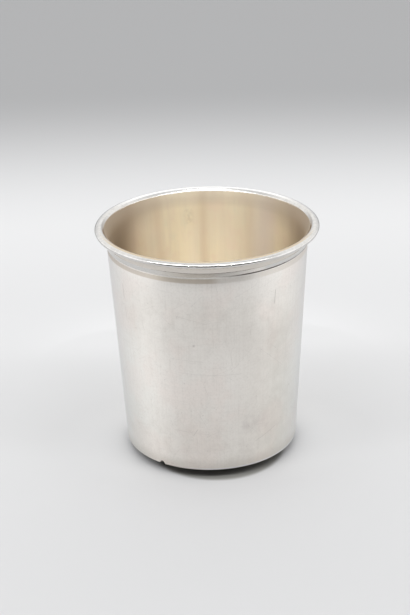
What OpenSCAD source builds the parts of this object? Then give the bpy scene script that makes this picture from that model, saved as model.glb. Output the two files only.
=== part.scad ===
// Straight-sided silver tumbler: a tapered sheet wall with a moulded rim ring soldered on top,
// a pressed base plate soldered in below, and a gilt inside.
// The origin is the centre of the standing face, and +Z is the axis of the cup.

/* [Cup] */
// Height from the table to the top of the lip
overall_height = 80; // [60:0.1:110]
// Diameter of the wall at its shoulder, just under the rim's mouldings
shoulder_diameter = 66.2; // [55:0.1:80]
// Diameter of the wall at its sharp lower edge
edge_diameter = 58.6; // [50:0.1:66]

/* [Wall] */
// Thickness of the wall's sheet
wall_sheet = 0.75; // [0.6:0.05:1.2]
// Height of the wall's lower edge above the table
edge_height = 3.1; // [1.5:0.1:4]
// Height of the straight thread at the top of the wall
thread_height = 0.5; // [0.2:0.1:1.5]
// Height of the bevel between the thread and the shoulder
bevel_height = 1.7; // [0.8:0.1:4]
// How far the bevel is turned in at the thread
bevel_depth = 0.25; // [0.1:0.05:0.35]

/* [Rim ring] */
// How far the lip stands out beyond the wall's shoulder
lip_overhang = 3.9; // [3.4:0.1:6]
// Radius of the lip's outer edge
lip_edge = 0.7; // [0.5:0.05:0.9]
// Radius of the lip's crown, from the outer edge to the lip's highest line
lip_crown = 2; // [1.2:0.1:2.4]
// Radius of the lip's crown, inside its highest line
lip_inner = 1.2; // [0.8:0.1:1.6]
// Angle above level at which the outer edge passes into the crown
lip_turn = 41; // [30:1:50]
// Angle below level of the slope inside the lip
lip_slope = 45; // [35:1:50]
// Angle above level at which the arc inside the mouth faces, at the edge of the gilding
mouth_turn = 29; // [26:1:34]
// How far the ring's waist lies below the lip's highest line
waist_drop = 4.85; // [4:0.05:6]
// How far the ring's waist is drawn in from the shoulder
waist_depth = 0.05; // [0:0.05:0.2]
// Height of the skirt below the waist
skirt_height = 1.25; // [1:0.05:3]
// How far the skirt's upper edge stands out beyond the waist
skirt_ledge = 0.08; // [0.05:0.01:0.15]
// How far the skirt's lower edge stands out beyond the waist
skirt_flare = 0.28; // [0.2:0.02:0.5]

/* [Base plate] */
// Thickness of the base plate's sheet
base_sheet = 0.8; // [0.5:0.05:1.2]
// How far the foot is set in from the wall's lower edge
foot_inset = 5; // [3:0.1:8]
// Radius inside the foot's lower corner
foot_corner = 0.6; // [0.3:0.1:1]
// Radius of the bend outside, between the foot and the flange
flange_bend = 0.7; // [0.3:0.1:1]
// Height of the flange above the wall's lower edge
flange_lift = 0.8; // [0.6:0.1:2]

/* [Solder] */
// Solder gap between the base plate and the wall
base_gap = 0.08; // [0.04:0.01:0.15]
// Leg of the solder fillet under the flange
base_fillet = 0.55; // [0.2:0.05:0.6]
// Thickness of the solder layer between the rim ring and the wall
rim_gap = 0.1; // [0.05:0.01:0.2]
// How far the rim's solder creeps out under the ring's skirt
rim_creep = 0.1; // [0.05:0.01:0.15]

/* [Gilding] */
// Thickness of the gilt lining
gilt_skin = 0.08; // [0.05:0.01:0.15]
// Width of the bare silver lip, from the outside of the lip to the gilding
gilt_margin = 3.05; // [2.6:0.05:3.5]

/* [Hidden] */
$fn = 180;

// Neighbouring shapes of the rim run into each other by this much, which leaves no sliver between them
overlap = 0.01;

// The lip's crown is two arcs that meet at its highest line, and the outer one passes into the edge
shoulder_r = shoulder_diameter / 2;
mouth_r = shoulder_r + lip_overhang;
edge_mid_r = mouth_r - lip_edge;
edge_mid_z = overall_height - lip_crown + (lip_crown - lip_edge) * sin(lip_turn);
crown_r = edge_mid_r - (lip_crown - lip_edge) * cos(lip_turn);

// Inside the lip a slope runs down to the edge of the gilding
slope_r = crown_r - lip_inner * sin(lip_slope);
slope_z = overall_height - lip_inner * (1 - cos(lip_slope));
gilt_r = mouth_r - gilt_margin;
gilt_z = slope_z - (slope_r - gilt_r) * tan(lip_slope);

// Heights of the mouldings and joints above the table, from the lip down
waist_z = overall_height - waist_drop;
joint_z = waist_z - skirt_height;
wall_top_z = joint_z - rim_gap;
thread_z = wall_top_z - thread_height;
shoulder_z = thread_z - bevel_height;

// Outside, the wall tapers straight from the edge to the shoulder, and inside it runs on up to the lip
edge_r = edge_diameter / 2;
taper = (shoulder_r - edge_r) / (shoulder_z - edge_height);
taper_angle = atan(taper);
function inside_r(z) = edge_r + taper * (z - edge_height) - wall_sheet;
thread_r = shoulder_r - bevel_depth;

// An arc leads from the waist up to the lip's edge
waist_r = shoulder_r - waist_depth;
under_run = edge_mid_r - waist_r;
under_rise = edge_mid_z - waist_z;
under_arc = overlap + (under_run * under_run + under_rise * under_rise - lip_edge * lip_edge)
    / (2 * (under_run + lip_edge));

// Inside, an arc leads from the gilding's edge to the wall, a little wider than one that just touches it
mouth_run = cos(taper_angle) - cos(mouth_turn);
mouth_fall = sin(mouth_turn) - sin(taper_angle);
mouth_arc = 1.04 * (gilt_r - inside_r(gilt_z)) / (mouth_run - taper * mouth_fall);
mouth_mid_r = gilt_r + mouth_arc * cos(mouth_turn);
mouth_mid_z = gilt_z - mouth_arc * sin(mouth_turn);

// The base plate's flange lies inside the wall, and its foot reaches down to the table
flange_z = edge_height + flange_lift;
flange_top_z = flange_z + base_sheet;
flange_r = inside_r(flange_z) - base_gap;
foot_r = edge_r - foot_inset;

// Flat shapes are drawn in a half plane: the first number is the radius, the second the height

// Block between two corners
module block(low, high) {
    translate(low) square(high - low);
}

// Disc about a centre
module disc(centre, radius) {
    translate(centre) circle(radius);
}

// Slice of a disc between two angles
module slice(centre, radius, start, end) {
    reach = 2 * radius;
    middle = (start + end) / 2;
    intersection() {
        disc(centre, radius);
        polygon([
            centre,
            centre + [reach * cos(start), reach * sin(start)],
            centre + [reach * cos(middle), reach * sin(middle)],
            centre + [reach * cos(end), reach * sin(end)]]);
    }
}

// Outline of a foot, from the axis out, with a rounded lower corner and a bend that opens into a flange
module foot_outline(radius, floor_z, corner, bend, rim_z) {
    block([0, floor_z], [radius - corner, rim_z]);
    block([0, floor_z + corner], [radius, rim_z]);
    disc([radius - corner, floor_z + corner], corner);
    difference() {
        block([radius, rim_z - bend], [radius + bend, rim_z]);
        disc([radius + bend, rim_z - bend], bend);
    }
}

// The space inside the cup, drawn in by an inset from every wall
module hollow(inset) {
    low_z = flange_top_z + inset;
    slant = inset / cos(taper_angle);
    foot_outline(foot_r - base_sheet - inset, base_sheet + inset, foot_corner - inset,
        flange_bend + base_sheet + inset, low_z);
    polygon([
        [0, low_z],
        [inside_r(low_z) - slant, low_z],
        [inside_r(slope_z) - slant, slope_z],
        [0, slope_z]]);
    difference() {
        block([0, mouth_mid_z], [slope_r, slope_z]);
        disc([mouth_mid_r, mouth_mid_z], mouth_arc + inset);
    }
}

// Tapered wall, with the thread and the bevel turned into its top
module wall() {
    color("silver") rotate_extrude() polygon([
        [edge_r, edge_height],
        [shoulder_r, shoulder_z],
        [thread_r, thread_z],
        [thread_r, wall_top_z],
        [inside_r(wall_top_z), wall_top_z],
        [inside_r(edge_height), edge_height]]);
}

// Moulded ring with the skirt, the waist and the flared lip
module rim_ring() {
    color("gainsboro") rotate_extrude() {
        disc([edge_mid_r, edge_mid_z], lip_edge);
        difference() {
            union() {
                slice([crown_r, overall_height - lip_crown], lip_crown - overlap, lip_turn, 90);
                slice([crown_r, overall_height - lip_inner], lip_inner, 50, 110 + lip_slope);
                polygon([
                    [inside_r(joint_z) - wall_sheet, joint_z],
                    [waist_r + skirt_flare, joint_z],
                    [waist_r + skirt_ledge, waist_z],
                    [waist_r + under_arc, waist_z],
                    [edge_mid_r, edge_mid_z],
                    [crown_r, overall_height - lip_inner / 2],
                    [slope_r, slope_z - 2 * overlap],
                    [gilt_r - wall_sheet, gilt_z - wall_sheet * tan(lip_slope) - 2 * overlap]]);
            }
            intersection() {
                disc([waist_r + under_arc, waist_z], under_arc);
                block([0, waist_z], [mouth_r, overall_height]);
            }
            hollow(0);
        }
    }
}

// Solder between the wall's top and the ring, sloping out a little under the skirt
module rim_solder() {
    color("tan") rotate_extrude() polygon([
        [inside_r(wall_top_z), wall_top_z],
        [thread_r, wall_top_z],
        [thread_r + rim_creep, joint_z],
        [inside_r(joint_z), joint_z]]);
}

// Pressed plate: a flange that fits inside the wall and a flat foot that stands below it
module base_plate() {
    color("silver") rotate_extrude() difference() {
        union() {
            foot_outline(foot_r, 0, foot_corner + base_sheet, flange_bend, flange_z);
            block([0, flange_z], [flange_r, flange_top_z]);
        }
        hollow(0);
    }
}

// Solder that fills the gap round the flange and makes a fillet under it
module base_solder() {
    color("tan") rotate_extrude() polygon([
        [flange_r, flange_top_z],
        [flange_r, flange_z],
        [flange_r - base_fillet, flange_z],
        [inside_r(flange_z - base_fillet), flange_z - base_fillet],
        [inside_r(flange_top_z), flange_top_z]]);
}

// Gold skin over the inside of the mouth, the wall and the floor
module gilt_lining() {
    color("goldenrod") rotate_extrude() difference() {
        hollow(0);
        hollow(gilt_skin);
        block([0, gilt_z], [mouth_r, overall_height]);
    }
}

wall();
rim_ring();
rim_solder();
base_plate();
base_solder();
gilt_lining();
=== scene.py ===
# %% [markdown]
# # Dressing a silver tumbler
# The tumbler is a small tapered cup of sheet silver with a moulded rim, a gilt inside and an inset foot.
# Its six soldered pieces come packed as plain solids, and loading them first fixes every size and place.
# Each solid then gets a finer mesh, with the slight unevenness of hand work, and a finish of its own.

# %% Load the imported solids
import math

import bmesh
import bpy
from mathutils import Matrix, Vector


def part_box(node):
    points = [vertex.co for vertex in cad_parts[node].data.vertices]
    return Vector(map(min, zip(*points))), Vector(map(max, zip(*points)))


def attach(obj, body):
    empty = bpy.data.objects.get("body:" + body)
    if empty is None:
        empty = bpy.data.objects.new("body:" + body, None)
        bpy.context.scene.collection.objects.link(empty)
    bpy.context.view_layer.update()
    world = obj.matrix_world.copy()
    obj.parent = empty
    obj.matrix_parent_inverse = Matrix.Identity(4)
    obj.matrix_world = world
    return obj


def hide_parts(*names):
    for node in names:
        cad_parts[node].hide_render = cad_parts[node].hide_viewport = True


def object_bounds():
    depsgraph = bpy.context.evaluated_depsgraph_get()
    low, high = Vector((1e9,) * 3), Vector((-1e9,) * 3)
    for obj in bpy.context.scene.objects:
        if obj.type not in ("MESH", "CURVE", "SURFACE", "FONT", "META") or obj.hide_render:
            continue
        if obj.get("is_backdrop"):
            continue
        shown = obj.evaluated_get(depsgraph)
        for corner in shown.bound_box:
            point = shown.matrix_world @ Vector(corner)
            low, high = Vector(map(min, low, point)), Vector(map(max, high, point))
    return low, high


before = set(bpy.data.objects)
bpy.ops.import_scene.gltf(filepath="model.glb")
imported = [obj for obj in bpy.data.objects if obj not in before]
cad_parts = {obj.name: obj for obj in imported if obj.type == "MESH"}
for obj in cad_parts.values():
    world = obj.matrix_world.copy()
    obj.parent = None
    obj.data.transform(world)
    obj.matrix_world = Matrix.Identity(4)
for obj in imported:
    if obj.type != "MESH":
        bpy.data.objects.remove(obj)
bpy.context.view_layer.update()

print("Solids:", ", ".join(sorted(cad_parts)))

# %% [markdown]
# ## Measures
# Every outline below is worked out from a few sizes. The large ones are read from the solids' boxes, so the
# dressed cup can't drift away from them. The small ones, such as the thickness of the sheet, are the
# silversmith's choices, written in millimetres and turned into metres once.

# %% Measures of the cup
MM = 0.001
wall_low, wall_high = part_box("wall")
ring_low, ring_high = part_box("rim_ring")
_, plate_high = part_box("base_plate")

lip_top = ring_high.z
mouth_r = ring_high.x
joint_z = ring_low.z
shoulder_r = wall_high.x
wall_top = wall_high.z
edge_z = wall_low.z
flange_r = plate_high.x
flange_top = plate_high.z

edge_r = 29.3 * MM
wall_sheet = 0.75 * MM
thread_height = 0.5 * MM
bevel_height = 1.7 * MM
bevel_depth = 0.25 * MM
waist_depth = 0.05 * MM
skirt_height = 1.25 * MM
skirt_ledge = 0.08 * MM
skirt_flare = 0.28 * MM
base_sheet = 0.8 * MM
foot_inset = 5.0 * MM
foot_corner = 0.6 * MM
flange_bend = 0.7 * MM

thread_r = shoulder_r - bevel_depth
thread_z = wall_top - thread_height
shoulder_z = thread_z - bevel_height
taper = (shoulder_r - edge_r) / (shoulder_z - edge_z)
taper_angle = math.atan(taper)
waist_r = shoulder_r - waist_depth
waist_z = joint_z + skirt_height
foot_r = edge_r - foot_inset
flange_z = flange_top - base_sheet


def inside_r(z):
    """Radius of the wall's inside face at a height."""
    return edge_r + taper * (z - edge_z) - wall_sheet


print(f"Mouth {2 * mouth_r / MM:.1f} mm, lower edge {2 * edge_r / MM:.1f} mm across")
print(f"The wall leans out by {math.degrees(taper_angle):.2f} degrees")

# %% [markdown]
# The lip is a chain of arcs, as the maker's file and burnisher leave it: a small round edge outside, a wide
# crown on top, a slope down to the gilding, and one more arc from there into the straight taper. Working
# out where each arc meets the next one keeps the lip free of corners.

# %% Arcs of the lip
lip_edge = 0.7 * MM
lip_crown = 2.0 * MM
lip_inner = 1.2 * MM
lip_turn = math.radians(41)
lip_slope = math.radians(45)
mouth_turn = math.radians(29)
mouth_ease = 1.04
gilt_margin = 3.05 * MM

edge_mid_z = lip_top - lip_crown + (lip_crown - lip_edge) * math.sin(lip_turn)
edge_mid = (mouth_r - lip_edge, edge_mid_z)
crown_r = edge_mid[0] - (lip_crown - lip_edge) * math.cos(lip_turn)
slope_top = (
    crown_r - lip_inner * math.sin(lip_slope),
    lip_top - lip_inner * (1 - math.cos(lip_slope)))
gilt_r = mouth_r - gilt_margin
gilt_z = slope_top[1] - (slope_top[0] - gilt_r) * math.tan(lip_slope)

# The arc inside the mouth is a little wider than one that would just touch the taper
mouth_run = math.cos(taper_angle) - math.cos(mouth_turn)
mouth_fall = math.sin(mouth_turn) - math.sin(taper_angle)
mouth_arc = mouth_ease * (gilt_r - inside_r(gilt_z)) / (mouth_run - taper * mouth_fall)
mouth_mid = (gilt_r + mouth_arc * math.cos(mouth_turn), gilt_z - mouth_arc * math.sin(mouth_turn))


def mouth_meet(rise):
    """Angle at which the mouth's arc, raised from the silver, meets the raised taper."""
    reach = (mouth_mid[0] - inside_r(mouth_mid[1])) * math.cos(taper_angle) + rise
    return taper_angle + math.acos(reach / (mouth_arc + rise))


# Outside, an arc runs from the waist up to the lip's edge and meets it without a corner
under_rise = edge_mid[1] - waist_z
under_run = edge_mid[0] - waist_r
under_arc = (under_rise ** 2 + under_run ** 2 - lip_edge ** 2) / (2 * (under_run + lip_edge))
under_mid = (waist_r + under_arc, waist_z)
under_turn = math.degrees(math.atan2(under_rise, edge_mid[0] - under_mid[0]))
print(f"Arc under the lip {under_arc / MM:.2f} mm, arc inside the mouth {mouth_arc / MM:.2f} mm")

# %% [markdown]
# ## Camera
# The cup is seen from a little above, as on a table in front of a standing person. A long lens keeps the
# taper gentle. The camera is placed by its distance and elevation from the middle of the lip, and then
# aimed lower, because the cup hangs below its lip.

# %% Camera
camera_distance = 478.53 * MM
camera_elevation = math.radians(20.533)
look_down = math.radians(23.905)
look_aside = math.radians(-0.168)
tilt = math.radians(-1.473)

ahead = Vector((
    math.sin(look_aside) * math.cos(look_down),
    math.cos(look_aside) * math.cos(look_down),
    -math.sin(look_down)))
level = ahead.cross(Vector((0, 0, 1))).normalized()
upright = level.cross(ahead)
side = math.cos(tilt) * level + math.sin(tilt) * upright
upward = math.cos(tilt) * upright - math.sin(tilt) * level

camera_data = bpy.data.cameras.new("camera")
camera_data.lens = 85
camera_data.sensor_width = 36
camera_data.clip_start = 0.01
camera = bpy.data.objects.new("camera", camera_data)
bpy.context.scene.collection.objects.link(camera)
back_off = Vector((0, -math.cos(camera_elevation), math.sin(camera_elevation)))
place = Matrix((side, upward, -ahead)).transposed().to_4x4()
place.translation = Vector((0, 0, lip_top)) + camera_distance * back_off
camera.matrix_world = place
bpy.context.scene.camera = camera
print("Camera at", [round(x, 4) for x in place.translation])

# %% [markdown]
# ## Small helpers for node trees
# Shapes and finishes are both built from nodes. These helpers add a node, feed a socket with a number or
# a link, and do sums on fields, so that the trees below read like recipes.

# %% Nodes and sums
def add(tree, kind, **settings):
    """A new node with some of its settings changed."""
    node = tree.nodes.new(kind)
    for name, value in settings.items():
        setattr(node, name, value)
    return node


def feed(tree, socket, value):
    """Links a socket to another node's output, or gives it a fixed value."""
    if isinstance(value, bpy.types.NodeSocket):
        tree.links.new(value, socket)
    else:
        socket.default_value = value


def sum_of(tree, operation, *values):
    """The result of one Math node."""
    node = add(tree, "ShaderNodeMath", operation=operation)
    for socket, value in zip(node.inputs, values):
        feed(tree, socket, value)
    return node.outputs[0]


def times(tree, product, *others):
    """The product of several values."""
    for other in others:
        product = sum_of(tree, "MULTIPLY", product, other)
    return product


def away(tree, value, middle=0.0):
    """How far a value lies from a middle, on either side."""
    return sum_of(tree, "ABSOLUTE", sum_of(tree, "SUBTRACT", value, middle))


def remap(tree, value, low, high, to_low=0, to_high=1, smooth=True):
    """Moves a value from one range to another and stops at its ends."""
    kind = "SMOOTHSTEP" if smooth else "LINEAR"
    node = add(tree, "ShaderNodeMapRange", interpolation_type=kind)
    for socket, number in zip(node.inputs, (value, low, high, to_low, to_high)):
        feed(tree, socket, number)
    return node.outputs[0]


print("Sums ready")

# %% [markdown]
# Places and colours need helpers of their own. Noise is always read in four dimensions, where the fourth one
# is a fixed seed, so that each pattern differs and still comes out the same on every run.

# %% Vectors, noise and colours
def parts_of(tree, vector):
    """The X, Y and Z of a vector."""
    node = add(tree, "ShaderNodeSeparateXYZ")
    feed(tree, node.inputs[0], vector)
    return node.outputs


def vector_of(tree, x, y, z):
    """A vector from its X, Y and Z."""
    node = add(tree, "ShaderNodeCombineXYZ")
    for socket, value in zip(node.inputs, (x, y, z)):
        feed(tree, socket, value)
    return node.outputs[0]


def vector_sum(tree, operation, first, second):
    """The result of one Vector Math node: a number for a distance or a dot product."""
    node = add(tree, "ShaderNodeVectorMath", operation=operation)
    feed(tree, node.inputs[0], first)
    feed(tree, node.inputs[1], second)
    return node.outputs["Value" if operation in ("DISTANCE", "DOT_PRODUCT") else "Vector"]


def stretch(tree, vector, scale):
    """A vector times a scale along each axis."""
    return vector_sum(tree, "MULTIPLY", vector, scale)


def distance(tree, vector, centre=(0, 0, 0)):
    """How far a place lies from a centre."""
    return vector_sum(tree, "DISTANCE", vector, centre)


def cloud(tree, vector, seed, detail=2.0, roughness=0.5):
    """Smooth noise between 0 and 1, where the seed picks the pattern."""
    node = add(tree, "ShaderNodeTexNoise", noise_dimensions="4D")
    feed(tree, node.inputs["Vector"], vector)
    feed(tree, node.inputs["W"], seed)
    feed(tree, node.inputs["Scale"], 1.0)
    feed(tree, node.inputs["Detail"], detail)
    feed(tree, node.inputs["Roughness"], roughness)
    return node.outputs[0]


def blend(tree, share, first, second, mode="MIX"):
    """One colour blended into another by a share."""
    node = add(tree, "ShaderNodeMix", data_type="RGBA", blend_type=mode)
    feed(tree, node.inputs[0], share)
    feed(tree, node.inputs[6], first)
    feed(tree, node.inputs[7], second)
    return node.outputs[2]


print("Noise and colours ready")

# %% [markdown]
# ## Table
# The cup stands on a pale sweep that falls into grey further back. A flat disc with a colour that darkens
# with distance gives the same picture from every side, where a real curved sheet would get in the way of
# a camera that walks round.

# %% Table
table_r = 8.0
table_mesh = bpy.data.meshes.new("table")
shape = bmesh.new()
bmesh.ops.create_circle(shape, cap_ends=True, segments=96, radius=table_r)
shape.to_mesh(table_mesh)
shape.free()
table = bpy.data.objects.new("table", table_mesh)
bpy.context.scene.collection.objects.link(table)
table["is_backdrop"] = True

table_paint = bpy.data.materials.new("table_paint")
table_paint.use_nodes = True
table_mesh.materials.append(table_paint)
tree = table_paint.node_tree
paint = tree.nodes["Principled BSDF"]
paint.inputs["Roughness"].default_value = 0.6
paint.inputs["Specular IOR Level"].default_value = 0.2
spot = add(tree, "ShaderNodeTexCoord").outputs["Object"]
print("Table is", 2 * table_r, "m across")

# %% [markdown]
# A pool lies in front of the cup and is wider than it is deep. At its middle the table is darkest, a painted
# shadow of the cup. From there outwards it grows a little paler, with painted light some way behind the cup,
# and then falls into dusk and night, painted shade where the light dies away. Two more tones come from the
# cup itself and are painted too: silver throws light on the table beside it, a painted pool of light, and
# next to none gets in under its front, a painted shadow.

# %% Table colours
pool_middle = (0, -170 * MM, 0)
pool_stretch = (0.55, 1, 1)
# Painted shadow of the cup: the table is darkest at the pool's middle, in front of the cup.
table_front_shadow = (0.63, 0.63, 0.635, 1)
pale_r = (60 * MM, 170 * MM)
table_pale = (0.675, 0.675, 0.68, 1)
# Painted light some way behind the cup.
far_r = (280 * MM, 390 * MM)
table_far_light = (0.715, 0.715, 0.72, 1)
# Painted shade: the light dies away into dusk and night further back.
dusk_r = (375 * MM, 630 * MM)
table_dusk = (0.36, 0.36, 0.365, 1)
night_r = (900 * MM, 1550 * MM)
table_night = (0.095, 0.095, 0.10, 1)
# Painted light that the silver throws on the table beside it.
thrown_stretch = (1, 1.5, 1)
thrown_r = (58 * MM, 33 * MM)
table_thrown_light = (0.72, 0.72, 0.725, 1)
# Painted shadow under the cup's front, where next to no light gets in.
under_middle = (2 * MM, -8 * MM, 0)
under_r = (23.6 * MM, 21.4 * MM)
table_under_shade = (0.34, 0.335, 0.315, 1)

from_pool = distance(tree, stretch(tree, spot, pool_stretch), pool_middle)
beside_cup = distance(tree, stretch(tree, spot, thrown_stretch))
under_cup = distance(tree, spot, under_middle)
tone = table_front_shadow
for reach, (start, end), colour in (
        (from_pool, pale_r, table_pale),
        (from_pool, far_r, table_far_light),
        (from_pool, dusk_r, table_dusk),
        (from_pool, night_r, table_night),
        (beside_cup, thrown_r, table_thrown_light),
        (under_cup, under_r, table_under_shade)):
    tone = blend(tree, remap(tree, reach, start, end), tone, colour)
feed(tree, paint.inputs["Base Color"], tone)
print("Table is pale to", round((dusk_r[0] + pool_middle[1]) / MM), "mm behind the cup")

# %% [markdown]
# ## Light
# Polished silver shows its surroundings more than itself, so the light is built like a small studio. One
# long lamp hangs overhead, a little in front of the cup. Two narrow spots shine into the mouth, because
# light bounces about in a gilt cup far longer than a render follows it.

# %% Lamps
lamp_level = 5.7
lamp_data = bpy.data.lights.new("overhead_lamp", "AREA")
lamp_data.shape = "RECTANGLE"
lamp_data.size = 7.0
lamp_data.size_y = 0.5
lamp_data.energy = lamp_level * math.pi * lamp_data.size * lamp_data.size_y
lamp = bpy.data.objects.new("overhead_lamp", lamp_data)
lamp.location = (0, -1.3, 3.15)
lamp.rotation_euler = Vector(lamp.location).to_track_quat("Z", "Y").to_euler()
bpy.context.scene.collection.objects.link(lamp)


def around_cup(degrees, radius, z):
    """A place or a direction. 0 degrees faces the camera and 90 is on its right."""
    turn = math.radians(degrees)
    return Vector((radius * math.sin(turn), -radius * math.cos(turn), z))


spot_aim = Vector((0, 31, 44)) * MM
spot_away = 616 * MM
spot_above = 788 * MM
for name, turn in (("left_spot", -28), ("right_spot", 28)):
    spot_data = bpy.data.lights.new(name, "SPOT")
    spot_data.energy = 16.5
    spot_data.spot_size = math.radians(3.7)
    spot_data.spot_blend = 1.0
    spot_data.shadow_soft_size = 30 * MM
    spot_lamp = bpy.data.objects.new(name, spot_data)
    offset = around_cup(turn, spot_away, spot_above)
    spot_lamp.location = spot_aim + offset
    spot_lamp.rotation_euler = offset.to_track_quat("Z", "Y").to_euler()
    bpy.context.scene.collection.objects.link(spot_lamp)
print("Lamp of", round(lamp_data.energy), "W overhead and two spots of", spot_data.energy, "W")

# %% [markdown]
# The room is an environment that changes with direction, so that no card stands in the way of a camera. It
# is pale, with a bright panel at each side and a glow above and behind. In front, where the camera stands,
# it is dim, and that draws the dark lines along the mouldings. Past the table's edge the camera itself sees
# a plain grey.

# %% Room
pale_walls = (0.88, 0.89, 0.90, 1)
left_panel = (1.42, 1.43, 1.45, 1)
right_panel = (1.38, 1.39, 1.41, 1)
back_glow = (1.16, 1.16, 1.15, 1)
dim_front = (0.075, 0.071, 0.068, 1)
plain_grey = (0.225, 0.225, 0.23, 1)

room = bpy.data.worlds.new("room")
bpy.context.scene.world = room
room.use_nodes = True
tree = room.node_tree
right, back, up = parts_of(tree, add(tree, "ShaderNodeTexCoord").outputs["Generated"])
panel = blend(tree, remap(tree, right, -0.3, 0.3), left_panel, right_panel)
at_sides = times(tree, remap(tree, away(tree, right), 0.42, 0.82), remap(tree, up, 0.85, 0.55))
view = blend(tree, at_sides, pale_walls, panel)
behind = times(tree, remap(tree, back, 0.05, 0.40), remap(tree, up, 0.20, 0.40))
view = blend(tree, behind, view, back_glow)
in_front = times(tree, remap(tree, back, -0.32, -0.66), remap(tree, up, 0.82, 0.71))
view = blend(tree, in_front, view, dim_front)
seen = add(tree, "ShaderNodeLightPath").outputs["Is Camera Ray"]
view = blend(tree, seen, view, plain_grey)
feed(tree, tree.nodes["Background"].inputs["Color"], view)
bpy.context.scene.view_settings.view_transform = "Standard"
print("Room is mixed from", len(tree.nodes), "nodes")

# %% [markdown]
# ## Trees that shape the metal
# One tree of nodes turns the pieces and another one dents them. Both start from named inputs and end with
# real faces in a finish, so they share two helpers for that.

# %% Start and end of a tree
def new_tree(name, inputs):
    """A geometry tree with named inputs and one piece as its output, and the inputs' identifiers."""
    tree = bpy.data.node_groups.new(name, "GeometryNodeTree")
    identifiers = {}
    for label, kind in inputs.items():
        socket = tree.interface.new_socket(name=label, in_out="INPUT", socket_type="NodeSocket" + kind)
        identifiers[label] = socket.identifier
    tree.interface.new_socket(name="Piece", in_out="OUTPUT", socket_type="NodeSocketGeometry")
    print("The", name, "takes", ", ".join(identifiers))
    return tree, identifiers


def end_tree(tree, piece, finish):
    """Hands a piece to the tree's output, as real faces with a finish."""
    whole = add(tree, "GeometryNodeRealizeInstances")
    feed(tree, whole.inputs[0], piece)
    coat = add(tree, "GeometryNodeSetMaterial")
    feed(tree, coat.inputs["Geometry"], whole.outputs[0])
    feed(tree, coat.inputs["Material"], finish)
    feed(tree, add(tree, "NodeGroupOutput").inputs[0], coat.outputs[0])
    print("The", tree.name, "tree has", len(tree.nodes), "nodes")


print("Trees can be started and ended")

# %% [markdown]
# ## A lathe in nodes
# The real cup was turned and spun, so every piece is one outline swept round the axis. The tree below takes
# an outline as a row of points and lays a grid round the axis, one column for each step. It also adds what
# the hand leaves: a slightly oval mouth, slow waves in the sheet and a rim joint that isn't quite level.
# All pieces go through the same tree, so neighbours stay together.

# %% Grid round the axis
lathe, lathe_inputs = new_tree("lathe", {
    "Outline": "Geometry", "Steps round": "Int", "Oval": "Float", "Waves": "Float", "Wave length": "Float",
    "Wave seed": "Float", "Joint height": "Float", "Joint wander": "Float", "Finish": "Material"})
given = add(lathe, "NodeGroupInput").outputs
count = add(lathe, "GeometryNodeAttributeDomainSize", component="MESH")
feed(lathe, count.inputs[0], given["Outline"])
grid = add(lathe, "GeometryNodeMeshGrid")
feed(lathe, grid.inputs["Vertices X"], sum_of(lathe, "ADD", given["Steps round"], 1))
feed(lathe, grid.inputs["Vertices Y"], count.outputs["Point Count"])
index = add(lathe, "GeometryNodeInputIndex").outputs[0]
column = sum_of(lathe, "FLOOR", sum_of(lathe, "DIVIDE", index, count.outputs["Point Count"]))
row = sum_of(lathe, "MODULO", index, count.outputs["Point Count"])
angle = times(lathe, sum_of(lathe, "DIVIDE", column, given["Steps round"]), 2 * math.pi)
profile = add(lathe, "GeometryNodeSampleIndex", data_type="FLOAT_VECTOR", domain="POINT")
feed(lathe, profile.inputs["Geometry"], given["Outline"])
feed(lathe, profile.inputs["Value"], add(lathe, "GeometryNodeInputPosition").outputs[0])
feed(lathe, profile.inputs["Index"], row)
radius, _, level_z = parts_of(lathe, profile.outputs["Value"])
true_x = times(lathe, radius, sum_of(lathe, "COSINE", angle))
true_y = times(lathe, radius, sum_of(lathe, "SINE", angle))
print("Each outline is laid round the axis in columns")

# %% [markdown]
# The waves and the oval are shares of the radius, so they fade out towards the axis and the foot stays
# round its centre. They are drawn in by about half of their swing, which keeps the cup inside the solids'
# box. The joint's wander lifts one side of the mouldings and lowers the other.

# %% Hand work
wave_from_r = 30 * MM
oval_turn = math.radians(35)
wander_turn = math.radians(20)
wander_reach = 3.2 * MM
draw_in = 0.48

wave_scale = sum_of(lathe, "DIVIDE", 1.0, given["Wave length"])
wave_place = stretch(
    lathe, vector_of(lathe, true_x, true_y, level_z), vector_of(lathe, wave_scale, wave_scale, wave_scale))
wave = remap(lathe, cloud(lathe, wave_place, given["Wave seed"]), 0, 1, -1, 1, smooth=False)
oval_angle = sum_of(lathe, "MULTIPLY_ADD", angle, 2.0, oval_turn)
bulge = times(lathe, given["Oval"], sum_of(lathe, "COSINE", oval_angle))
bulge = sum_of(lathe, "MULTIPLY_ADD", given["Waves"], wave, bulge)
swing = sum_of(lathe, "ADD", given["Oval"], given["Waves"])
bulge = sum_of(lathe, "MULTIPLY_ADD", swing, -draw_in, bulge)
grow = sum_of(lathe, "MULTIPLY_ADD", bulge, 1 / wave_from_r, 1.0)
nearness = remap(lathe, away(lathe, level_z, given["Joint height"]), wander_reach, 0.0)
lift = sum_of(lathe, "COSINE", sum_of(lathe, "ADD", angle, wander_turn))
lift = times(lathe, lift, nearness, given["Joint wander"])
hand_place = vector_of(
    lathe, times(lathe, true_x, grow), times(lathe, true_y, grow), sum_of(lathe, "ADD", level_z, lift))
print("Waves are drawn in by", draw_in, "of their swing")

# %% [markdown]
# The grid's points go to those places. The way round the cup and the height are stored as a UV map called
# unrolled, because grain and scratches follow the sheet and not the room. Last, the first and the last
# column are welded together.

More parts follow.
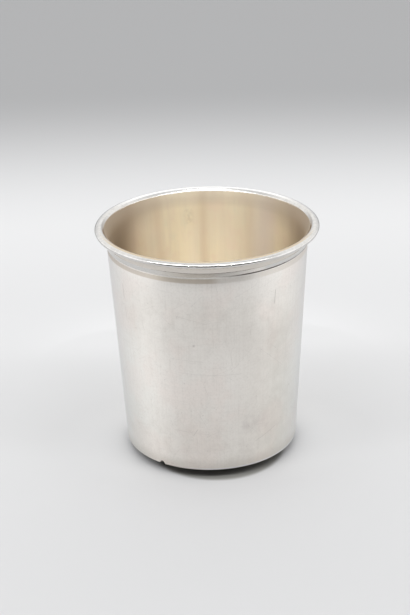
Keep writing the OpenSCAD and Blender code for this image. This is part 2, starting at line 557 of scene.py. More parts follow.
# %% Laying the sheet
weld_gap = 0.0005 * MM
seat = add(lathe, "GeometryNodeSetPosition")
feed(lathe, seat.inputs["Geometry"], grid.outputs["Mesh"])
feed(lathe, seat.inputs["Position"], hand_place)
unroll = add(lathe, "GeometryNodeStoreNamedAttribute", data_type="FLOAT2", domain="CORNER")
feed(lathe, unroll.inputs["Geometry"], seat.outputs[0])
feed(lathe, unroll.inputs["Name"], "unrolled")
on_points = add(lathe, "GeometryNodeFieldOnDomain", data_type="FLOAT_VECTOR", domain="POINT")
feed(lathe, on_points.inputs[0], vector_of(lathe, times(lathe, angle, wave_from_r), level_z, 0.0))
feed(lathe, unroll.inputs["Value"], on_points.outputs[0])
weld = add(lathe, "GeometryNodeMergeByDistance")
feed(lathe, weld.inputs["Geometry"], unroll.outputs[0])
feed(lathe, weld.inputs["Distance"], weld_gap)
end_tree(lathe, weld.outputs[0], given["Finish"])

# %% [markdown]
# A second, small tree presses dents. It pushes the points near a place along a direction, most in the
# middle and not at all at its edge, which is what a knock against a hard corner does to thin sheet.

# %% Dents
dent, dent_inputs = new_tree("dent", {
    "Piece": "Geometry", "Place": "Vector", "Reach": "Float", "Push": "Vector", "Finish": "Material"})
given = add(dent, "NodeGroupInput").outputs
gap = distance(dent, add(dent, "GeometryNodeInputPosition").outputs[0], given["Place"])
share = remap(dent, gap, given["Reach"], 0.0)
press = add(dent, "GeometryNodeSetPosition")
feed(dent, press.inputs["Geometry"], given["Piece"])
feed(dent, press.inputs["Offset"], stretch(dent, given["Push"], vector_of(dent, share, share, share)))
end_tree(dent, press.outputs[0], given["Finish"])

# %% [markdown]
# ## From outline to piece
# An outline is half of a cut through a piece, as a turner draws it: a list of points, each a radius and
# a height. Straight runs and arcs are joined into one list.

# %% Outlines
same_point = 0.0001 * MM


def straight(start, end, steps=1, crowd=1.0):
    """Points from start to end. With crowd above 1 they gather at the start."""
    shares = [(step / steps) ** crowd for step in range(steps + 1)]
    run, rise = end[0] - start[0], end[1] - start[1]
    return [(start[0] + share * run, start[1] + share * rise) for share in shares]


def arc(centre, size, start, end, steps):
    """Points on an arc, with angles in degrees up from the outward direction."""
    turns = [math.radians(start + (end - start) * step / steps) for step in range(steps + 1)]
    return [(centre[0] + size * math.cos(t), centre[1] + size * math.sin(t)) for t in turns]


def joined(*runs):
    """Runs of points as one outline without repeats, closed unless it ends on the axis."""
    points = []
    for point in [p for run in runs for p in run]:
        if not points or math.dist(point, points[-1]) > same_point:
            points.append(point)
    if points[-1][0] > same_point and math.dist(points[0], points[-1]) > same_point:
        points.append(points[0])
    return points


sample = joined(straight((1, 0), (1, 1)), arc((0, 1), 1, 0, 90, 8))
print("A straight run and an arc make", len(sample), "points")

# %% [markdown]
# Before a piece is handed over, its faces are turned outwards. Edges with a real corner are kept crisp, and
# the rest is shaded smooth.

# %% Faces and hand-over
crisp_corner = math.radians(32)


def facing_out(piece):
    """Turns the faces outwards and keeps only real corners crisp."""
    shape = bmesh.new()
    shape.from_mesh(piece.data)
    bmesh.ops.recalc_face_normals(shape, faces=shape.faces)
    open_edges = sum(1 for edge in shape.edges if not edge.is_manifold)
    volume = shape.calc_volume(signed=True)
    shape.to_mesh(piece.data)
    shape.free()
    piece.data.shade_smooth()
    piece.data.set_sharp_from_angle(angle=crisp_corner)
    print(f"{piece.name}: {len(piece.data.polygons)} faces, {open_edges} open edges, {1e9 * volume:.1f} mm3")
    return piece


def dressed(piece, node):
    """Hands a finished piece to the frame in place of its solid."""
    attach(piece, "root")
    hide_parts(node)


print("Corners over", round(math.degrees(crisp_corner)), "degrees stay crisp")

# %% [markdown]
# The lathe turns an outline, dents are pressed in, and the result is made a plain mesh. All pieces share one
# oval, one set of waves and one wandering joint, because soldered neighbours have moved together.

# %% Turning a piece
steps_round = 720
oval = 0.05 * MM
waves = 0.05 * MM
wave_length = 22 * MM
wave_seed = 4.0
joint_wander = 0.22 * MM


def turned(name, points, finish, dents=()):
    """A piece turned from its outline, with its dents pressed in, as a plain mesh."""
    mesh = bpy.data.meshes.new(name + "_outline")
    mesh.from_pydata([(r, 0, z) for r, z in points], [], [])
    piece = bpy.data.objects.new(name, mesh)
    bpy.context.scene.collection.objects.link(piece)
    spin = piece.modifiers.new("lathe", "NODES")
    spin.node_group = lathe
    values = {
        "Steps round": steps_round, "Oval": oval, "Waves": waves, "Wave length": wave_length,
        "Wave seed": wave_seed, "Joint height": joint_z, "Joint wander": joint_wander, "Finish": finish}
    for label, value in values.items():
        spin[lathe_inputs[label]] = value
    for place, reach, push in dents:
        knock = piece.modifiers.new("dent", "NODES")
        knock.node_group = dent
        for label, value in {"Place": place, "Reach": reach, "Push": push, "Finish": finish}.items():
            knock[dent_inputs[label]] = value
    graph = bpy.context.evaluated_depsgraph_get()
    plain = bpy.data.meshes.new_from_object(piece.evaluated_get(graph))
    piece.modifiers.clear()
    piece.data = plain
    bpy.data.meshes.remove(mesh)
    plain.name = name
    return facing_out(piece)


print("Pieces are turned in", steps_round, "steps")

# %% [markdown]
# ## Finishes
# Old table silver is never one grey. Washing and rubbing leave hairlines, mostly up and down the wall, a
# faint warm cloudiness and a few deeper scratches. Each finish starts from a bare metal, and adds those as
# changes of colour, roughness and height.

# %% Bare metal
def new_metal(name):
    """A bare metal finish: its material, node tree and shader, and the piece's own coordinates."""
    material = bpy.data.materials.new(name)
    material.use_nodes = True
    tree = material.node_tree
    shader = tree.nodes["Principled BSDF"]
    shader.inputs["Metallic"].default_value = 1.0
    spot = add(tree, "ShaderNodeTexCoord").outputs["Object"]
    return material, tree, shader, spot


def unrolled_place(tree):
    """Where a point lies on the unrolled sheet: the way round the cup, and the height."""
    return add(tree, "ShaderNodeUVMap", uv_map="unrolled").outputs[0]


def relief(tree, shader, height, depth):
    """Turns a height between 0 and 1 into bumps of a real depth."""
    bump = add(tree, "ShaderNodeBump")
    feed(tree, bump.inputs["Height"], height)
    feed(tree, bump.inputs["Strength"], 1.0)
    feed(tree, bump.inputs["Distance"], depth)
    feed(tree, shader.inputs["Normal"], bump.outputs[0])


def turned_grain(tree, shader, amount):
    """Draws reflections out up and down, as fine turning lines round the cup do."""
    run = add(tree, "ShaderNodeTangent", direction_type="UV_MAP", uv_map="unrolled")
    feed(tree, shader.inputs["Tangent"], run.outputs[0])
    shader.inputs["Anisotropic"].default_value = amount
    shader.inputs["Anisotropic Rotation"].default_value = 0.25


print("Bare metals ready")

# %% [markdown]
# Scratches are straight and lie in every direction. Scattered ones take a cell pattern on the unrolled sheet,
# and each cell's random colour says how its scratch lies, whether it is there and how faint it is. A stroke
# is one mark between two chosen places, and a wide stroke makes a soft stain.

# %% Scratches and strokes
def scratches(tree, cell, width, share, seed):
    """Short straight scratches on the unrolled sheet, at most one in each cell, in any direction."""
    shifted = vector_sum(tree, "ADD", unrolled_place(tree), (seed, 0.37 * seed, 0))
    cells = add(tree, "ShaderNodeTexVoronoi", voronoi_dimensions="2D")
    feed(tree, cells.inputs["Vector"], shifted)
    feed(tree, cells.inputs["Scale"], 1 / cell)
    chance = add(tree, "ShaderNodeSeparateColor")
    feed(tree, chance.inputs[0], cells.outputs["Color"])
    x, y, _ = parts_of(tree, vector_sum(tree, "SUBTRACT", shifted, cells.outputs["Position"]))
    slant = times(tree, chance.outputs[0], math.pi)
    across_x = times(tree, x, sum_of(tree, "COSINE", slant))
    across_y = times(tree, y, sum_of(tree, "SINE", slant))
    line = remap(tree, away(tree, across_x, across_y), width / 2, 0.0)
    there = sum_of(tree, "LESS_THAN", chance.outputs[1], share)
    return times(tree, line, there, chance.outputs[2])


def unrolled(degrees, z):
    """A place on the unrolled sheet, from its angle round the cup and its height."""
    return (math.radians((degrees - 90) % 360) * wave_from_r, z, 0)


def stroke(tree, start, end, width):
    """One straight mark between two places on the unrolled sheet, thinner at its ends."""
    run = Vector(end) - Vector(start)
    off = vector_sum(tree, "SUBTRACT", unrolled_place(tree), start)
    along = vector_sum(tree, "DOT_PRODUCT", off, run / run.length)
    across = vector_sum(tree, "DOT_PRODUCT", off, Vector((-run.y, run.x, 0)) / run.length)
    line = remap(tree, away(tree, across), width / 2, 0.0)
    return times(tree, line, remap(tree, away(tree, along, run.length / 2), run.length / 2, run.length / 3))


print("Finishes can be scratched")

# %% [markdown]
# ### Wall
# The wall is satin silver. Its grain runs up and down, so one noise is squeezed sideways and drawn out along
# the axis, and a weaker one runs round the cup. Finer and coarser noise gives pits, cloudy patches and a
# faint blush.

# %% Wall: grain and clouds
wall_silver, tree, shader, spot = new_metal("wall_silver")
x, y, _ = parts_of(tree, spot)
sheet = unrolled_place(tree)
_, height, _ = parts_of(tree, sheet)
grain = cloud(tree, stretch(tree, sheet, (1500, 60, 0)), 1.0, detail=4, roughness=0.6)
lines = cloud(tree, stretch(tree, sheet, (50, 1500, 0)), 5.0, detail=4, roughness=0.6)
speckle = cloud(tree, stretch(tree, spot, (900, 900, 800)), 2.0, detail=3, roughness=0.6)
bloom = cloud(tree, stretch(tree, spot, (1500, 1500, 1300)), 7.0, detail=3, roughness=0.6)
mottle = cloud(tree, stretch(tree, spot, (300, 300, 300)), 6.0, detail=4, roughness=0.6)
patches = cloud(tree, stretch(tree, spot, (75, 75, 60)), 3.0, detail=4, roughness=0.55)
blush = cloud(tree, stretch(tree, spot, (85, 85, 70)), 8.0, detail=3)
print("Wall grain and clouds take", len(tree.nodes), "nodes")

# %% [markdown]
# Two sets of scattered scratches cover the wall. The deeper marks are placed one by one: from an angle and
# a height to another angle and height, with a width in millimetres and a depth.

# %% Wall: scratches
marks = sum_of(tree, "MAXIMUM",
    scratches(tree, 4 * MM, 0.07 * MM, 0.6, 0.0),
    scratches(tree, 9 * MM, 0.10 * MM, 0.5, 5.0))
deep_marks = (
    (40.0, 60.6, 40.6, 66.4, 0.45, 1.0),
    (-57.6, 66.5, -57.0, 60.5, 0.40, 0.9),
    (-57.0, 59.0, -56.6, 52.5, 0.30, 0.7),
    (27.0, 11.6, 47.0, 15.6, 0.30, 0.7),
    (-24.0, 39.8, 22.0, 38.6, 0.40, 0.3),
    (-12.0, 16.0, -8.4, 19.0, 0.35, 0.7),
    (-9.9, 49.5, -8.7, 50.1, 1.10, 0.8),
    (24.0, 52.0, 24.4, 56.5, 0.30, 0.4))
for from_turn, from_z, to_turn, to_z, width, depth in deep_marks:
    mark = stroke(tree, unrolled(from_turn, from_z * MM), unrolled(to_turn, to_z * MM), width * MM)
    marks = sum_of(tree, "MAXIMUM", marks, times(tree, mark, depth))
print("Wall has", len(deep_marks), "deep marks")

# %% [markdown]
# The colour starts as clean silver with dull patches. Painted light makes it brighter under the rim, against
# the lip's shade, and half-way down, and a painted reflection of the dark line under the cup makes it duller
# along the foot. A dull cloud stands on the right, with a smudge low in it, and painted shade makes both
# sides of the cup greyer.

# %% Wall: tone by place
clean = (0.95, 0.915, 0.862, 1)
dull = (0.81, 0.77, 0.715, 1)
bright = (0.965, 0.935, 0.89, 1)
half_way_light = (1.0, 0.965, 0.915, 1)
clouded = (0.74, 0.70, 0.645, 1)
smudged = (0.66, 0.61, 0.58, 1)
side_shade_grey = (0.645, 0.645, 0.645, 1)
foot_reflected_shade = (0.58, 0.54, 0.485, 1)

tint = blend(tree, remap(tree, patches, 0.35, 0.75, 0.0, 0.55), clean, dull)
tint = blend(tree, remap(tree, mottle, 0.40, 0.75, 0.0, 0.50), tint, dull)
# Painted light under the rim, against the lip's shade.
tint = blend(tree, remap(tree, height, shoulder_z - 12 * MM, shoulder_z, 0.0, 0.8), tint, bright)
# Painted light half-way down the wall.
half_way_light_share = remap(tree, away(tree, height, 36 * MM), 26 * MM, 0.0, 0.0, 0.85)
tint = blend(tree, half_way_light_share, tint, half_way_light)
dull_cloud = stroke(tree, unrolled(46, -14 * MM), unrolled(42, 62 * MM), 34 * MM)
dull_cloud = times(tree, dull_cloud, remap(tree, mottle, 0.30, 0.70, 0.66, 0.90))
tint = blend(tree, dull_cloud, tint, clouded)
smudge = stroke(tree, unrolled(17, 19.5 * MM), unrolled(40, 19.0 * MM), 10 * MM)
smudge = times(tree, smudge, remap(tree, mottle, 0.35, 0.65, 0.2, 1.0), 0.4)
tint = blend(tree, smudge, tint, smudged)
# Painted shade round both sides of the wall.
turn_round = sum_of(tree, "ARCTAN2", x, times(tree, y, -1.0))
for turn, reach in ((-86, 46), (84, 40)):
    shade = remap(tree, away(tree, turn_round, math.radians(turn)), math.radians(reach), 0.0, 0.0, 0.8)
    tint = blend(tree, shade, tint, side_shade_grey)
# Painted reflection of the dark line under the cup, darkest along the foot.
lower = remap(tree, height, edge_z + 5 * MM, edge_z + 0.3 * MM, 0.0, 0.5)
tint = blend(tree, lower, tint, foot_reflected_shade)
print("Wall tones take it to", len(tree.nodes), "nodes")

# %% [markdown]
# Silver isn't quite neutral either. A blush comes and goes, the lower sides are a little cooler as a painted
# cool reflection, and grain, pits and scratches darken it.

# %% Wall: hue and wear
rosy = (1.0, 0.976, 0.972, 1)
cool = (0.972, 0.995, 1.0, 1)
worn = (0.66, 0.62, 0.57, 1)
pitted = (0.50, 0.465, 0.42, 1)
scratched = (0.38, 0.35, 0.32, 1)

tint = blend(tree, remap(tree, blush, 0.44, 0.62), tint, rosy, mode="MULTIPLY")
# Painted cool reflection on the lower sides.
low_sides_reflection = times(tree, remap(tree, away(tree, x), 14 * MM, 25 * MM), remap(tree, height, 62 * MM, 28 * MM))
tint = blend(tree, low_sides_reflection, tint, cool, mode="MULTIPLY")
for pattern, low, high, share, colour in (
        (grain, 0.45, 0.78, 0.17, worn),
        (lines, 0.48, 0.78, 0.10, worn),
        (bloom, 0.40, 0.72, 0.18, worn),
        (speckle, 0.62, 0.78, 0.35, pitted)):
    tint = blend(tree, remap(tree, pattern, low, high, 0.0, share), tint, colour)
tint = blend(tree, times(tree, marks, 0.45), tint, scratched)
print("Wall wear takes it to", len(tree.nodes), "nodes")

# %% [markdown]
# No cloth reaches into the mouldings, so brown tarnish stays on the bevel. A painted dark reflection lies
# over it, strongest in front and least just right of the middle. The joint above it is a dark line of painted
# shadow under the skirt, widest on the right. The lower edge has a painted highlight there, over painted
# shade on its underside.

# %% Wall: bevel, joint and lower edge
bevel_middle = (0.69, 0.605, 0.50, 1)
bevel_left = (0.55, 0.48, 0.41, 1)
bevel_right = (0.72, 0.67, 0.61, 1)
edge_highlight = (0.80, 0.81, 0.83, 1)
joint_and_edge_shade = (0.06, 0.043, 0.035, 1)
pale_spot_x = 9.5 * MM
pale_spot_near = 5 * MM
pale_spot_far = 9.5 * MM
joint_x = (1 * MM, 14 * MM)
joint_shadow_share = (0.1, 1.0)
edge_break = 0.12 * MM

# Brown tarnish with a painted dark reflection, darker at the left and paler at the right.
bevel_tarnish_and_shade_tone = blend(tree, remap(tree, x, -14 * MM, -22 * MM), bevel_middle, bevel_left)
bevel_tarnish_and_shade_tone = blend(tree, remap(tree, x, 12 * MM, 20 * MM), bevel_tarnish_and_shade_tone, bevel_right)
# The painted reflection is strongest in front and least just right of the middle.
bevel_tarnish_and_shade = times(tree,
    remap(tree, height, shoulder_z, shoulder_z + 0.4 * MM, 0.0, 0.75),
    remap(tree, height, thread_z + 0.1 * MM, thread_z - 0.2 * MM),
    remap(tree, away(tree, x, pale_spot_x), pale_spot_near, pale_spot_far, 0.18, 1.0))
tint = blend(tree, bevel_tarnish_and_shade, tint, bevel_tarnish_and_shade_tone)
# Painted highlight along the lower edge.
edge_highlight_share = times(tree,
    remap(tree, height, edge_z + 0.75 * MM, edge_z + 0.45 * MM),
    remap(tree, x, -14 * MM, 2 * MM, 0.0, 0.6))
tint = blend(tree, edge_highlight_share, tint, edge_highlight)
# Painted shadow in the joint under the skirt, widest on the right.
joint = times(tree,
    remap(tree, height, wall_top - 0.50 * MM, wall_top - 0.20 * MM),
    remap(tree, x, *joint_x, *joint_shadow_share))
# Painted shade on the underside of the lower edge.
below = remap(tree, height, edge_z + edge_break, edge_z)
tint = blend(tree, sum_of(tree, "MAXIMUM", joint, below), tint, joint_and_edge_shade)
feed(tree, shader.inputs["Base Color"], tint)
print("Wall edges take it to", len(tree.nodes), "nodes")

# %% [markdown]
# Satin silver is neither a mirror nor matt. Its scratches are rougher than the sheet around them and lie
# deeper, and the turning lines draw every reflection out up and down.

# %% Wall: gloss and relief
rough = remap(tree, grain, 0.25, 0.75, 0.34, 0.42)
feed(tree, shader.inputs["Roughness"], sum_of(tree, "MULTIPLY_ADD", marks, 0.12, rough))
bumps = sum_of(tree, "MULTIPLY_ADD", marks, -1.0, times(tree, mottle, 1.2))
relief(tree, shader, bumps, 0.010 * MM)
turned_grain(tree, shader, 0.8)
print("Wall finish has", len(tree.nodes), "nodes")

# %% [markdown]
# ### Rim
# The rim was turned and polished, so it is sharper than the wall. Fine turning lines run round it: noise
# that is read by height alone gives rings. The flare's underside and the skirt are warmer than the lip,
# because a polishing cloth passes over them less often. On the skirt, painted light makes it bright in
# front and palest just right of the middle, and painted shade makes it grey at the sides.

# %% Rim: polish
rim_silver, tree, shader, spot = new_metal("rim_silver")
x, y, _ = parts_of(tree, spot)
_, height, _ = parts_of(tree, unrolled_place(tree))
lip_bright = (0.70, 0.685, 0.665, 1)
lip_dull = (0.62, 0.60, 0.575, 1)
lip_mottled = (0.48, 0.465, 0.445, 1)
flare_warm = (0.70, 0.65, 0.59, 1)
skirt_front_warm_light = (0.95, 0.875, 0.77, 1)
skirt_side_shade = (0.64, 0.63, 0.61, 1)
skirt_pale_spot = (1.0, 0.955, 0.89, 1)

rings = cloud(tree, vector_of(tree, times(tree, height, 4000), 0.0, 0.0), 1.0)
patches = cloud(tree, stretch(tree, spot, (180, 180, 180)), 2.0, detail=4)
mottle = cloud(tree, stretch(tree, spot, (650, 650, 650)), 3.0, detail=4, roughness=0.6)
tint = blend(tree, remap(tree, patches, 0.4, 0.8, 0.0, 0.5), lip_bright, lip_dull)
tint = blend(tree, remap(tree, mottle, 0.40, 0.72, 0.0, 0.35), tint, lip_mottled)
under = remap(tree, height, lip_top - 1.5 * MM, lip_top - 2.3 * MM, 0.0, 0.8)
tint = blend(tree, under, tint, flare_warm)
# Painted light in front and painted shade at the sides of the skirt, over a warmer tone.
skirt_warm_light_and_shade = blend(tree, remap(tree, away(tree, x), 4 * MM, 20 * MM), skirt_front_warm_light, skirt_side_shade)
# Painted light: the skirt is palest just right of the middle.
at_pale_spot = remap(tree, away(tree, x, pale_spot_x), pale_spot_far, pale_spot_near)
skirt_warm_light_and_shade = blend(tree, at_pale_spot, skirt_warm_light_and_shade, skirt_pale_spot)
skirt = remap(tree, height, waist_z + 0.05 * MM, waist_z - 0.05 * MM)
tint = blend(tree, skirt, tint, skirt_warm_light_and_shade)
print("Rim polish takes", len(tree.nodes), "nodes")

# %% [markdown]
# Dirt collects under the skirt, in the joint, with a painted shadow there too. Inside the lip the gilding
# doesn't stop at a clean line: some gold runs up the silver, painted deep in colour at the sides as shade,
# and paler in front. The far lip has a painted highlight for the glow it catches from behind.

# %% Rim: joint and inside of the lip
crevice_dirt_and_shadow = (0.05, 0.036, 0.03, 1)
side_gold_shade = (0.36, 0.30, 0.235, 1)
near_gold = (0.62, 0.51, 0.36, 1)
far_lip_highlight = (0.98, 0.975, 0.965, 1)

# Dirt and painted shadow under the skirt, in the joint.
crevice_dirt_and_shadow_share = times(tree,
    remap(tree, height, joint_z + 0.30 * MM, joint_z),
    remap(tree, patches, 0.3, 0.6, 0.5, 1.0),
    remap(tree, x, *joint_x, *joint_shadow_share))
tint = blend(tree, crevice_dirt_and_shadow_share, tint, crevice_dirt_and_shadow)
from_axis = distance(tree, vector_of(tree, x, y, 0.0))
inside = remap(tree, height, gilt_z - 0.3 * MM, gilt_z - 0.1 * MM)
# Painted shade on the gold that runs up the lip, at the sides.
side_wash_and_shade = times(tree, inside,
    remap(tree, from_axis, gilt_r + 0.9 * MM, gilt_r + 0.5 * MM),
    remap(tree, away(tree, x), 25 * MM, 35 * MM),
    remap(tree, y, 10 * MM, -6 * MM))
tint = blend(tree, side_wash_and_shade, tint, side_gold_shade)
near_wash = times(tree, inside,
    remap(tree, from_axis, crown_r + 0.75 * MM, crown_r + 0.35 * MM, 0.0, 0.9),
    remap(tree, y, -6 * MM, -22 * MM))
tint = blend(tree, near_wash, tint, near_gold)
# Painted highlight on the far lip.
far_lip_highlight_share = times(tree, inside,
    remap(tree, from_axis, slope_top[0] - 0.1 * MM, slope_top[0] + 0.15 * MM),
    remap(tree, y, 14 * MM, 28 * MM))
tint = blend(tree, far_lip_highlight_share, tint, far_lip_highlight)
feed(tree, shader.inputs["Base Color"], tint)
rough = sum_of(tree, "MULTIPLY_ADD", crevice_dirt_and_shadow_share, 0.3, remap(tree, patches, 0.3, 0.7, 0.10, 0.17))
feed(tree, shader.inputs["Roughness"], rough)
relief(tree, shader, rings, 0.002 * MM)
print("Rim finish has", len(tree.nodes), "nodes")

# %% [markdown]
# ### Solder
# Silver solder has some copper and zinc in it, so it tarnishes sooner than the sheet and stays a dull brown.

# %% Solder finish
solder, tree, shader, spot = new_metal("solder")
solder_dark = (0.11, 0.08, 0.06, 1)
solder_light = (0.24, 0.20, 0.16, 1)
lumps = cloud(tree, stretch(tree, spot, (600, 600, 600)), 1.0, detail=4, roughness=0.6)
tint = blend(tree, remap(tree, lumps, 0.3, 0.7), solder_dark, solder_light)
feed(tree, shader.inputs["Base Color"], tint)
feed(tree, shader.inputs["Roughness"], remap(tree, lumps, 0.3, 0.7, 0.60, 0.42))
relief(tree, shader, lumps, 0.05 * MM)
print("Solder finish has", len(tree.nodes), "nodes")

# %% [markdown]
# ### Base
# The underside stands on tables, so it is scuffed: rings from turning, scratches every way, and a bright
# rubbed band where the foot touches down. The recess round the foot is never polished, and it is painted
# near black as the shade under the wall's edge.

# %% Base finish
base_silver, tree, shader, spot = new_metal("base_silver")
x, y, z = parts_of(tree, spot)
base_bright = (0.90, 0.87, 0.82, 1)
base_dull = (0.66, 0.60, 0.53, 1)
base_rubbed = (0.93, 0.91, 0.87, 1)
recess_shade_dark = (0.08, 0.065, 0.055, 1)

from_axis = distance(tree, vector_of(tree, x, y, 0.0))
rings = cloud(tree, vector_of(tree, times(tree, from_axis, 1800), 0.0, 0.0), 1.0)
patches = cloud(tree, stretch(tree, spot, (110, 110, 110)), 2.0, detail=4)
scuffs = cloud(tree, stretch(tree, spot, (90, 2600, 600)), 3.0, detail=3)
tint = blend(tree, remap(tree, patches, 0.3, 0.7), base_bright, base_dull)
tint = blend(tree, remap(tree, z, 0.25 * MM, 0.0, 0.0, 0.5), tint, base_rubbed)
# Painted shade in the recess round the foot, under the wall's edge.
recess = remap(tree, from_axis, foot_r - 1.2 * MM, foot_r - 0.5 * MM)
tint = blend(tree, recess, tint, recess_shade_dark)
feed(tree, shader.inputs["Base Color"], tint)
rough = remap(tree, patches, 0.3, 0.7, 0.24, 0.40)
rough = sum_of(tree, "MULTIPLY_ADD", recess, 0.3, rough)
feed(tree, shader.inputs["Roughness"], sum_of(tree, "MULTIPLY_ADD", scuffs, 0.1, rough))
bumps = times(tree, sum_of(tree, "ADD", rings, scuffs), 0.5)
relief(tree, shader, bumps, 0.02 * MM)
print("Base finish has", len(tree.nodes), "nodes")

# %% [markdown]
# ### Gilding
# The gold is a wash a few thousandths of a millimetre thick. It is pale, satin from use and thinner in
# patches where the silver shows through, with a hue that drifts between pink and green.

# %% Gilding: wash
gilding, tree, shader, spot = new_metal("gilding")
x, _, z = parts_of(tree, spot)
gold = (1.0, 0.89, 0.655, 1)
thin_gold = (1.0, 0.90, 0.715, 1)
dull_gold = (0.84, 0.73, 0.56, 1)
pink_gold = (0.93, 0.76, 0.60, 1)
green_gold = (0.90, 0.84, 0.64, 1)

bands = cloud(tree, stretch(tree, spot, (120, 120, 8)), 1.0, detail=4)
patches = cloud(tree, stretch(tree, spot, (70, 70, 40)), 2.0, detail=3)
nibbles = cloud(tree, stretch(tree, spot, (900, 900, 900)), 3.0, detail=3)
brushing = cloud(tree, stretch(tree, spot, (600, 600, 25)), 4.0, detail=3)
blush = cloud(tree, stretch(tree, spot, (190, 190, 130)), 5.0, detail=3)
tint = gold
for pattern, low, high, share, colour in (
        (patches, 0.40, 0.70, 0.80, thin_gold),
        (bands, 0.42, 0.70, 0.55, dull_gold),
        (brushing, 0.42, 0.75, 0.35, dull_gold),
        (blush, 0.50, 0.70, 0.45, pink_gold),
        (blush, 0.48, 0.30, 0.45, green_gold)):
    tint = blend(tree, remap(tree, pattern, low, high, 0.0, share), tint, colour)
print("Gilt wash takes", len(tree.nodes), "nodes")

# %% [markdown]
# The inside is painted deepest in colour at its left and right, as shade where gold mirrors gold. Drink has
# left a few upright streaks, a lilac haze on the right and the trace of one drop.

# %% Gilding: sides, streaks and stains
side_shade_gold_brown = (0.36, 0.262, 0.185, 1)
side_shade_gold_dark = (0.20, 0.15, 0.10, 1)
streaked = (0.80, 0.655, 0.48, 1)
lilac = (0.78, 0.68, 0.60, 1)
drop_brown = (0.52, 0.42, 0.28, 1)

# Painted shade at the left and right of the inside.
off_centre = away(tree, x, 1.5 * MM)
tint = blend(tree, remap(tree, off_centre, 16 * MM, 35 * MM, 0.0, 0.95), tint, side_shade_gold_brown)
tint = blend(tree, remap(tree, off_centre, 25 * MM, 33 * MM, 0.0, 0.95), tint, side_shade_gold_dark)
for turn, width, share in ((181.5, 5.0, 0.55), (211, 6.0, 0.55), (151, 6.0, 0.40)):
    streak = stroke(tree, unrolled(turn, 20 * MM), unrolled(turn + 1.5, 100 * MM), width * MM)
    tint = blend(tree, times(tree, streak, share), tint, streaked)
haze = stroke(tree, unrolled(142, 50 * MM), unrolled(140, 90 * MM), 14 * MM)
tint = blend(tree, times(tree, haze, 0.7), tint, lilac)
drop = stroke(tree, unrolled(190.8, 66.8 * MM), unrolled(191.6, 73.8 * MM), 4.6 * MM)
drop = times(tree, drop, remap(tree, nibbles, 0.42, 0.60, 0.15, 1.0), 0.26)
tint = blend(tree, drop, tint, drop_brown)
print("Gilt stains take it to", len(tree.nodes), "nodes")

# %% [markdown]
# Towards the lip the gold is duller, and painted shade makes it darker still at the sides. It is worn to
# an uneven line where mouths and cloths have rubbed.
# It isn't fully metallic here: a render follows only a few of the bounces that make a gilt cup glow, and
# a share of plain colour makes up for the rest.

# %% Gilding: lip, gloss and relief
lip_gold = (0.50, 0.42, 0.325, 1)
lip_side_shade_gold = (0.36, 0.28, 0.20, 1)
bare_silver = (0.95, 0.92, 0.88, 1)

tint = blend(tree, remap(tree, z, gilt_z - 6 * MM, gilt_z - 2 * MM, 0.0, 0.55), tint, lip_gold)
# Painted shade near the lip, at the sides.
upper_side_shade = times(tree,
    remap(tree, z, gilt_z - 12 * MM, gilt_z - 1 * MM, 0.0, 0.70),
    remap(tree, off_centre, 12 * MM, 30 * MM))
tint = blend(tree, upper_side_shade, tint, lip_side_shade_gold)
worn_from = sum_of(tree, "MULTIPLY_ADD", nibbles, 0.7 * MM, gilt_z - 0.55 * MM)
rubbed_off = times(tree,
    remap(tree, sum_of(tree, "SUBTRACT", z, worn_from), -0.03 * MM, 0.03 * MM),
    remap(tree, away(tree, x), 33 * MM, 24 * MM))
tint = blend(tree, rubbed_off, tint, bare_silver)
feed(tree, shader.inputs["Base Color"], tint)
feed(tree, shader.inputs["Roughness"], remap(tree, bands, 0.3, 0.7, 0.46, 0.54))
shader.inputs["Metallic"].default_value = 0.25
turned_grain(tree, shader, 0.9)
relief(tree, shader, nibbles, 0.010 * MM)
print("Gilt finish has", len(tree.nodes), "nodes")

# %% [markdown]
# ## Wall
# The wall is a straight cone of sheet, with a bevel and a narrow straight thread turned into its top.
# Its lower edge is sharp, with the corner only just broken. Someone once caught that edge on something
# hard, and it still has the nick.

# %% Wall
wall_outline = joined(
    arc((edge_r - edge_break, edge_z + edge_break), edge_break, -90, -math.degrees(taper_angle), 5),
    straight((edge_r + taper * edge_break, edge_z + 2 * edge_break), (shoulder_r, shoulder_z), 44, 1.6),
    straight((shoulder_r, shoulder_z), (thread_r, thread_z), 6),
    straight((thread_r, thread_z), (thread_r, wall_top), 3),
    straight((thread_r, wall_top), (inside_r(wall_top), wall_top)),
    straight((inside_r(wall_top), wall_top), (inside_r(edge_z), edge_z), 24))
nick = (around_cup(-35.2, edge_r, edge_z - 0.2 * MM), 1.3 * MM, Vector((0.15, 0.2, 1.1)) * MM)
wall = turned("tumbler_wall", wall_outline, wall_silver, [nick])
dressed(wall, "wall")

# %% [markdown]
# ## Rim ring
# The ring is one moulding: a skirt that stands on the wall, a waist, a flare and a rounded lip.
# Small knocks along the lip show that it has been used.

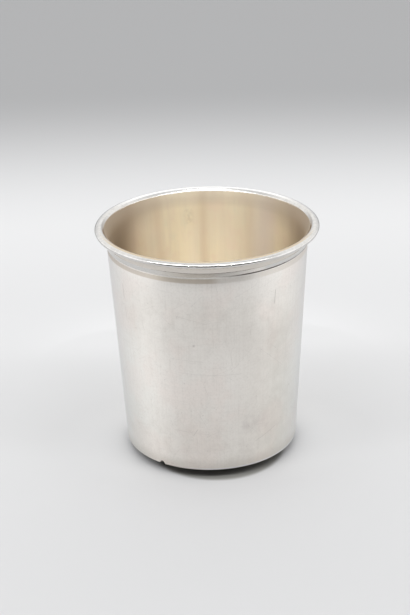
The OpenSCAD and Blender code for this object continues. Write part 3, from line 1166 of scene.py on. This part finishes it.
# %% Rim ring
ring_outline = joined(
    straight((inside_r(joint_z), joint_z), (waist_r + skirt_flare, joint_z), 2),
    straight((waist_r + skirt_flare, joint_z), (waist_r + skirt_ledge, waist_z), 6),
    arc(under_mid, under_arc, 180, under_turn, 18),
    arc(edge_mid, lip_edge, under_turn - 180, math.degrees(lip_turn), 20),
    arc((crown_r, lip_top - lip_crown), lip_crown, math.degrees(lip_turn), 90, 14),
    arc((crown_r, lip_top - lip_inner), lip_inner, 90, 90 + math.degrees(lip_slope), 10),
    straight(slope_top, (gilt_r, gilt_z), 4),
    arc(mouth_mid, mouth_arc, 180 - math.degrees(mouth_turn), 180 - math.degrees(mouth_meet(0)), 12),
    [(inside_r(joint_z), joint_z)])
lip_knocks = [
    (around_cup(4.8, mouth_r, edge_mid_z), 0.9 * MM, around_cup(184.8, 0.14 * MM, 0.05 * MM)),
    (around_cup(-6.6, mouth_r, edge_mid_z), 0.7 * MM, around_cup(173.4, 0.10 * MM, 0.0)),
    (around_cup(131, mouth_r, edge_mid_z), 1.6 * MM, around_cup(311, 0.16 * MM, -0.05 * MM))]
rim_ring = turned("rim_ring_moulding", ring_outline, rim_silver, lip_knocks)
dressed(rim_ring, "rim_ring")

# %% [markdown]
# ## Rim solder
# A thin layer of solder holds the ring on the wall. Only its outer edge shows, as a brown line in the
# joint, so its outline is a plain sloping band.

# %% Rim solder
solder_creep = 0.1 * MM
seam_outline = joined(
    straight((inside_r(wall_top), wall_top), (thread_r, wall_top)),
    straight((thread_r, wall_top), (thread_r + solder_creep, joint_z), 3),
    straight((thread_r + solder_creep, joint_z), (inside_r(joint_z), joint_z)))
rim_solder = turned("rim_solder_seam", seam_outline, solder)
dressed(rim_solder, "rim_solder")

# %% [markdown]
# ## Base plate
# The bottom is a pressed dish. Its flange fits inside the wall and its flat foot stands a little lower than
# the wall's edge, which is why the cup seems to float over a dark line. The dot in the middle is where the
# maker's compass stood.

# %% Base plate
dot_r = 0.5 * MM
dot_depth = 0.22 * MM
foot_round = foot_corner + base_sheet
pan_r = foot_r - base_sheet
pan_bend = flange_bend + base_sheet
plate_outline = joined(
    straight((0, dot_depth), (dot_r, 0), 3),
    straight((dot_r, 0), (foot_r - foot_round, 0), 24),
    arc((foot_r - foot_round, foot_round), foot_round, -90, 0, 10),
    arc((foot_r + flange_bend, flange_z - flange_bend), flange_bend, 180, 90, 8),
    straight((foot_r + flange_bend, flange_z), (flange_r, flange_z), 3),
    straight((flange_r, flange_z), (flange_r, flange_top), 2),
    arc((pan_r + pan_bend, flange_top - pan_bend), pan_bend, 90, 180, 10),
    arc((pan_r - foot_corner, base_sheet + foot_corner), foot_corner, 0, -90, 6),
    straight((pan_r - foot_corner, base_sheet), (0, base_sheet), 12))
base_plate = turned("base_plate_dish", plate_outline, base_silver)
dressed(base_plate, "base_plate")

# %% [markdown]
# ## Base solder
# Solder fills the gap round the flange and draws itself into a hollow fillet under it, as any liquid does
# in a corner.

# %% Base solder
solder_leg = 0.55 * MM
fillet_low = flange_z - solder_leg
fillet_mid = (flange_r - solder_leg, fillet_low)
base_outline = joined(
    straight((flange_r, flange_top), (flange_r, flange_z), 2),
    straight((flange_r, flange_z), (fillet_mid[0], flange_z)),
    arc(fillet_mid, solder_leg, 90, 0, 8),
    straight((inside_r(fillet_low), fillet_low), (inside_r(flange_top), flange_top), 3))
base_solder = turned("base_solder_fillet", base_outline, solder)
dressed(base_solder, "base_solder")

# %% [markdown]
# ## Gilt lining
# The gold covers the whole inside, from the bare lip down over the wall and the sunk floor. It is modelled
# as a very thin skin: the outline runs out along the silver and comes back a hair's breadth above it.

# %% Gilt lining
gilt_skin = 0.08 * MM


def skin_run(rise):
    """The inside of the cup from the axis to the lip, raised by a rise from the silver."""
    low = flange_top + rise
    slant = rise / math.cos(taper_angle)
    high = mouth_mid[1] + (mouth_arc + rise) * math.sin(mouth_meet(rise))
    top_turn = math.degrees(math.asin((gilt_z - mouth_mid[1]) / (mouth_arc + rise)))
    corner = foot_corner - rise
    bend = pan_bend + rise
    pan = pan_r - rise
    return joined(
        straight((0, base_sheet + rise), (pan - corner, base_sheet + rise), 10),
        arc((pan - corner, base_sheet + rise + corner), corner, -90, 0, 6),
        arc((pan + bend, low - bend), bend, 180, 90, 8),
        straight((inside_r(low) - slant, low), (inside_r(high) - slant, high), 26),
        arc(mouth_mid, mouth_arc + rise, 180 - math.degrees(mouth_meet(rise)), 180 - top_turn, 12))[:-1]


gilt_outline = joined(skin_run(0.0), reversed(skin_run(gilt_skin)))
gilt_lining = turned("gilt_lining_wash", gilt_outline, gilding)
dressed(gilt_lining, "gilt_lining")

# %% [markdown]
# The dressed cup must fill the same box as the solids, so its box is printed.

low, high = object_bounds()
print("Dressed box in mm:", [round(1000 * side, 2) for side in high - low])
